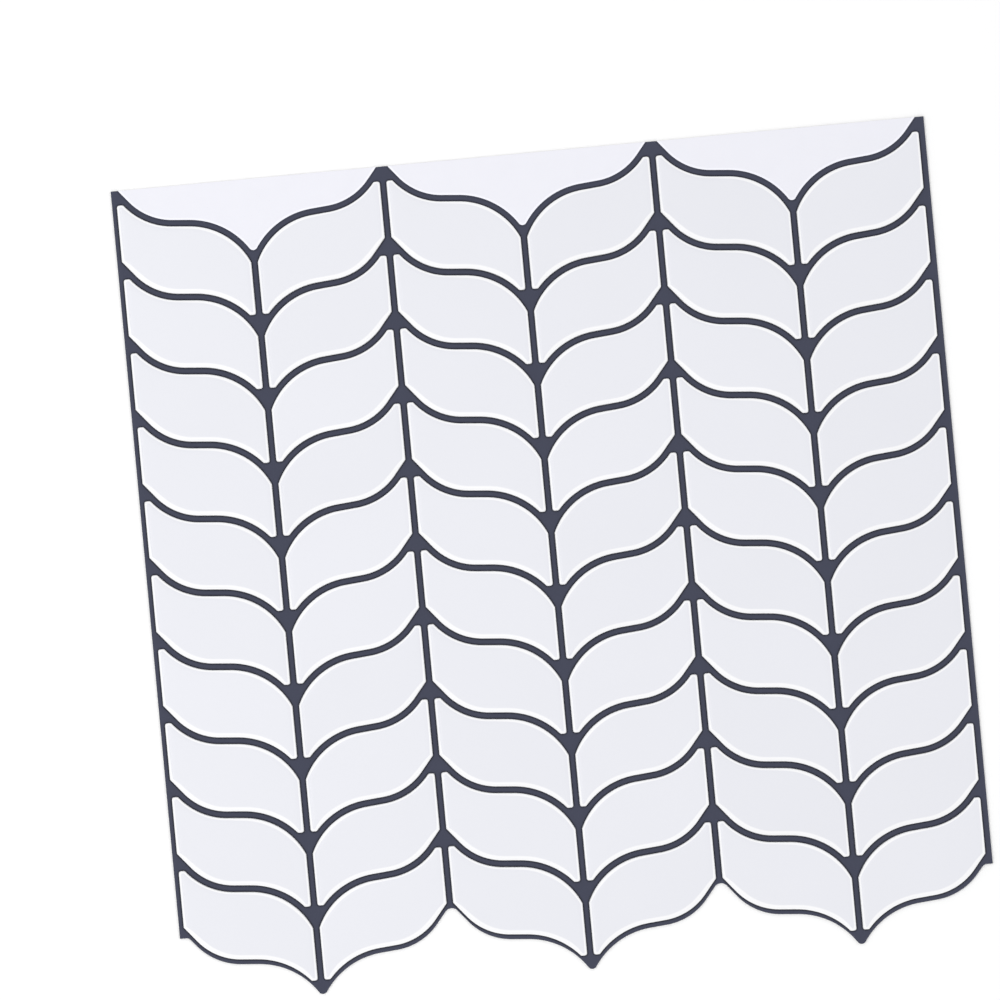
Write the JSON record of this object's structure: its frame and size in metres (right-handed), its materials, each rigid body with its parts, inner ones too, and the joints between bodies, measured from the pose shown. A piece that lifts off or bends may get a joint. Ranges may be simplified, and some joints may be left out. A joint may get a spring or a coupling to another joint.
{
  "type": "self-adhesive three-dimensional wall sheet",
  "caption": "Peel-and-stick wall sheet with raised white leaf pads in chevron columns on a dark grey film, straight top edge and scalloped bottom edge.",
  "frame": {"origin": "middle of the sheet's box, on the underside of the release liner, which rests on the floor", "axes": "+X across the columns, +Y towards the straight top edge, +Z out of the face"},
  "size_m": [0.3048, 0.3056, 0.0022],
  "materials": {
    "cast_pad": "satin gloss cast white gel with soft edges",
    "printed_film": "matte film printed dark grey, with white between the crests of the first joint",
    "liner_paper": "smooth coated paper"
  },
  "bodies": {
    "root": {"base_film": "printed_film", "release_liner": "liner_paper", "leaf_pads_column_1": "cast_pad", "leaf_pads_column_2": "cast_pad", "leaf_pads_column_3": "cast_pad", "leaf_pads_column_4": "cast_pad", "leaf_pads_column_5": "cast_pad", "leaf_pads_column_6": "cast_pad"}
  },
  "joints": []
}
